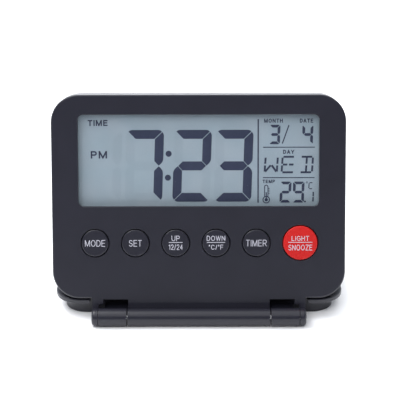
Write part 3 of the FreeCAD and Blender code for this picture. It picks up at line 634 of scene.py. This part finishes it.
def display_figures(materials):
    """Everything that the display shows, on the front of its front polariser."""
    out, _ = reach("lcd_polarisers", INWARD)
    origin = INWARD * out + UP * middle("display_lens", UP)
    dark = materials["lcd_ink"]

    def plates(name, outlines, thickness=INK_T, material=dark):
        flat_piece(name, outlines, origin, thickness, material, "clock_case")

    for place, figure in BIG_FIGURES.items():
        plates("time_" + place, digit(figure, BIG_X[place], BIG_Z, **BIG))
    plates("time_colon", [disc(x, z, COLON_R) for x, z in COLON_DOTS])
    plates("display_rules", [bar(*MAIN_RULE, MAIN_RULE_W)]
           + [bar(PANEL_X[0], z, PANEL_X[1], z, RULE_W) for z in PANEL_RULES_Z])
    date = [bar(*DATE_SLASH, SLASH_W)]
    for figure, x, z in DATE_FIGURES:
        date += digit(figure, x, z, **SMALL)
    plates("date_figures", date)
    weekday = []
    for key, x in WEEKDAY.items():
        weekday += letter(LETTERS[key], x, WEEKDAY_Z, **WEEKDAY_SIZE)
    plates("weekday_letters", weekday)
    temperature = [disc(*POINT)] + [bar(*ends, TENTHS_W) for ends in TENTHS_BARS]
    for figure, x, z in TEMPERATURE_FIGURES:
        temperature += digit(figure, x, z, **TEMPERATURE)
    plates("temperature_figures", temperature)
    plates("celsius_sign", [ring(*DEGREE_RING)]
           + [bar(*ends, CELSIUS_W) for ends in CELSIUS_BARS])
    plates("thermometer_sign", thermometer(**THERMOMETER))
    for name, (text, (left, foot), size, weight) in WORDS.items():
        plates(name, word_strokes(text, left, foot, size, weight))
    unlit = digit("8", BIG_X["hour"] - UNLIT_PITCH, BIG_Z, **BIG)[1:3]
    for x in BIG_X.values():
        unlit += digit("8", x, BIG_Z, **BIG)
    plates("unlit_segments", unlit, UNLIT_T, display_ground("lcd_ghost", UNLIT_SHARE))


# ---------------------------------------------------------------- button print

PRINT_W = 0.205
RULE_Z = 0.27
# Words on each cap: text, width, height and foot above the cap's middle; then the rule's length.
LABELS = {
    "mode": ([("MODE", 7.4, 2.4, -1.2)], None),
    "set": ([("SET", 4.7, 2.4, -1.2)], None),
    "up": ([("UP", 3.0, 2.0, 0.8), ("12/24", 5.2, 2.0, -2.45)], 5.1),
    "down": ([("DOWN", 6.8, 1.9, 0.85), ("\u00b0C/\u00b0F", 5.3, 1.8, -2.4)], 6.7),
    "timer": ([("TIMER", 7.6, 2.4, -1.2)], None),
    "snooze": ([("LIGHT", 6.4, 1.8, 0.8), ("SNOOZE", 8.8, 2.1, -2.75)], 8.8),
}


def button_print(materials):
    """Function words on the button caps; a ruled line parts the two words of a double label."""
    white = materials["print_white"]
    for button, (words, rule) in LABELS.items():
        body = button + "_button"
        front, _ = reach(body, INWARD)
        origin = INWARD * front + UP * middle(body, UP) + RIGHT * middle(body, RIGHT)
        printed = {}
        for i, (text, width, height, foot) in enumerate(words):
            printed["%s_print_%d" % (button, i + 1)] = word_strokes(
                text, -width / 2, foot, (width, height), PRINT_W)
        if rule:
            printed[button + "_rule"] = [bar(-rule / 2, RULE_Z, rule / 2, RULE_Z, PRINT_W)]
        for name, shapes in printed.items():
            flat_piece(name, shapes, origin, INK_T, white, body)


ARROW = ((-1.6, -3.2), (1.6, -3.2), (0, -4.8))
ARROW_T = 0.2 * MM
ARROW_INSET = 0.25 * MM


def door_arrow(materials):
    """Raised arrow on the battery door that points the way it opens."""
    _, back = reach("battery_door", INWARD)
    origin = INWARD * (back - ARROW_INSET) + UP * middle("battery_door", UP)
    flat_piece("door_arrow", [list(ARROW)], origin, -ARROW_T, materials["case_plastic"],
               "battery_door")


# ---------------------------------------------------------------- studio and camera

FLOOR_COLOUR = (0.915, 0.920, 0.940)
FLOOR_SHADE = 0.99
FLOOR_CLOUD_MM = 60.0
FLOOR_REACH = 4.0
ROOM_LIGHT = (0.05, 0.75)
SKY_COLOUR = (0.82, 0.89, 1.0)
SUN_SPREAD = 110.0
SUN_STRENGTH = 2.0
SUN_FROM = (-0.15, 0.1, 1.0)
BACKGROUND_STRENGTH = 1.4
# Lamps: place, the point they shine at, width, height, power and whether they show in gloss.
LAMPS = {
    "key_overhead": ((-0.24, -0.02, 0.42), (0, 0, 0.03), 0.25, 0.25, 1.35, True),
    "backdrop_glow": ((0, 0.75, 0.55), (0, 0.8, 0), 1.2, 0.5, 14.0, False),
    "front_fill": ((-0.1, -0.60, 0.60), (0, 0, 0.04), 0.6, 0.4, 3.9, False),
}
CAMERA_AIM = Vector((0.0005, -0.025, 0.0441))
CAMERA_DISTANCE = 0.562
CAMERA_PITCH = 23.2
CAMERA_TURN = -0.19
CAMERA_ROLL = -0.19
CAMERA_LENS = 138.0
CAMERA_SENSOR_MM = 36.0


def make_floor():
    corners = [(x * FLOOR_REACH, y * FLOOR_REACH, 0)
               for x, y in ((-1, -1), (1, -1), (1, 1), (-1, 1))]
    mesh = bpy.data.meshes.new("floor")
    mesh.from_pydata(corners, [], [(0, 1, 2, 3)])
    floor = bpy.data.objects.new("floor", mesh)
    bpy.context.scene.collection.objects.link(floor)
    made, tree, shader = new_material("floor_paper")
    tone = two_tone(tree, noise(tree, FLOOR_CLOUD_MM), shaded(FLOOR_COLOUR, FLOOR_SHADE),
                    FLOOR_COLOUR)
    tree.links.new(tone, shader.inputs["Base Color"])
    shader.inputs["Roughness"].default_value = 0.9
    shader.inputs["Specular IOR Level"].default_value = 0.1
    mesh.materials.append(made)


def area_light(name, place, aim, width, height, power, in_gloss):
    light = bpy.data.lights.new(name, "AREA")
    light.shape = "RECTANGLE"
    light.size = width
    light.size_y = height
    light.energy = power
    lamp = bpy.data.objects.new(name, light)
    lamp.location = place
    lamp.visible_glossy = in_gloss
    lamp.rotation_euler = (Vector(aim) - Vector(place)).to_track_quat("-Z", "Y").to_euler()
    bpy.context.scene.collection.objects.link(lamp)


def make_world():
    """Even room light, stronger behind the clock than in front; plain white to the camera."""
    world = bpy.data.worlds.new("studio")
    world.use_nodes = True
    tree = world.node_tree
    sky = tree.nodes["Background"]
    place = tree.nodes.new("ShaderNodeTexCoord")
    split = tree.nodes.new("ShaderNodeSeparateXYZ")
    tree.links.new(place.outputs["Generated"], split.inputs["Vector"])
    front_to_back = between(tree, split.outputs["Y"], *ROOM_LIGHT)
    front_to_back.node.inputs["From Min"].default_value = -1.0
    seen = tree.nodes.new("ShaderNodeLightPath")
    strength = tree.nodes.new("ShaderNodeMix")
    strength.inputs["B"].default_value = BACKGROUND_STRENGTH
    tree.links.new(seen.outputs["Is Camera Ray"], strength.inputs["Factor"])
    tree.links.new(front_to_back, strength.inputs["A"])
    tree.links.new(strength.outputs["Result"], sky.inputs["Strength"])
    sky.inputs["Color"].default_value = (*SKY_COLOUR, 1)
    bpy.context.scene.world = world


def make_lights():
    sun_data = bpy.data.lights.new("ceiling_glow", "SUN")
    sun_data.angle = math.radians(SUN_SPREAD)
    sun_data.energy = SUN_STRENGTH
    sun = bpy.data.objects.new("ceiling_glow", sun_data)
    sun.rotation_euler = (-Vector(SUN_FROM)).to_track_quat("-Z", "Y").to_euler()
    bpy.context.scene.collection.objects.link(sun)
    for name, settings in LAMPS.items():
        area_light(name, *settings)


def make_camera():
    camera_data = bpy.data.cameras.new("camera")
    camera_data.lens = CAMERA_LENS
    camera_data.sensor_width = CAMERA_SENSOR_MM
    camera_data.clip_start = 0.01
    camera = bpy.data.objects.new("camera", camera_data)
    pitch, turn = math.radians(CAMERA_PITCH), math.radians(CAMERA_TURN)
    ahead = Vector((math.sin(turn) * math.cos(pitch), math.cos(turn) * math.cos(pitch),
                    -math.sin(pitch)))
    rotation = ahead.to_track_quat("-Z", "Y").to_matrix().to_4x4()
    rotation = rotation @ Matrix.Rotation(math.radians(CAMERA_ROLL), 4, "Z")
    camera.matrix_world = Matrix.Translation(CAMERA_AIM - ahead * CAMERA_DISTANCE) @ rotation
    bpy.context.scene.collection.objects.link(camera)
    bpy.context.scene.camera = camera


def main():
    materials = make_materials()
    finish_cad_nodes(materials)
    display_figures(materials)
    button_print(materials)
    door_arrow(materials)
    make_floor()
    make_world()
    make_lights()
    make_camera()
    bpy.context.scene.view_settings.view_transform = "Standard"


main()
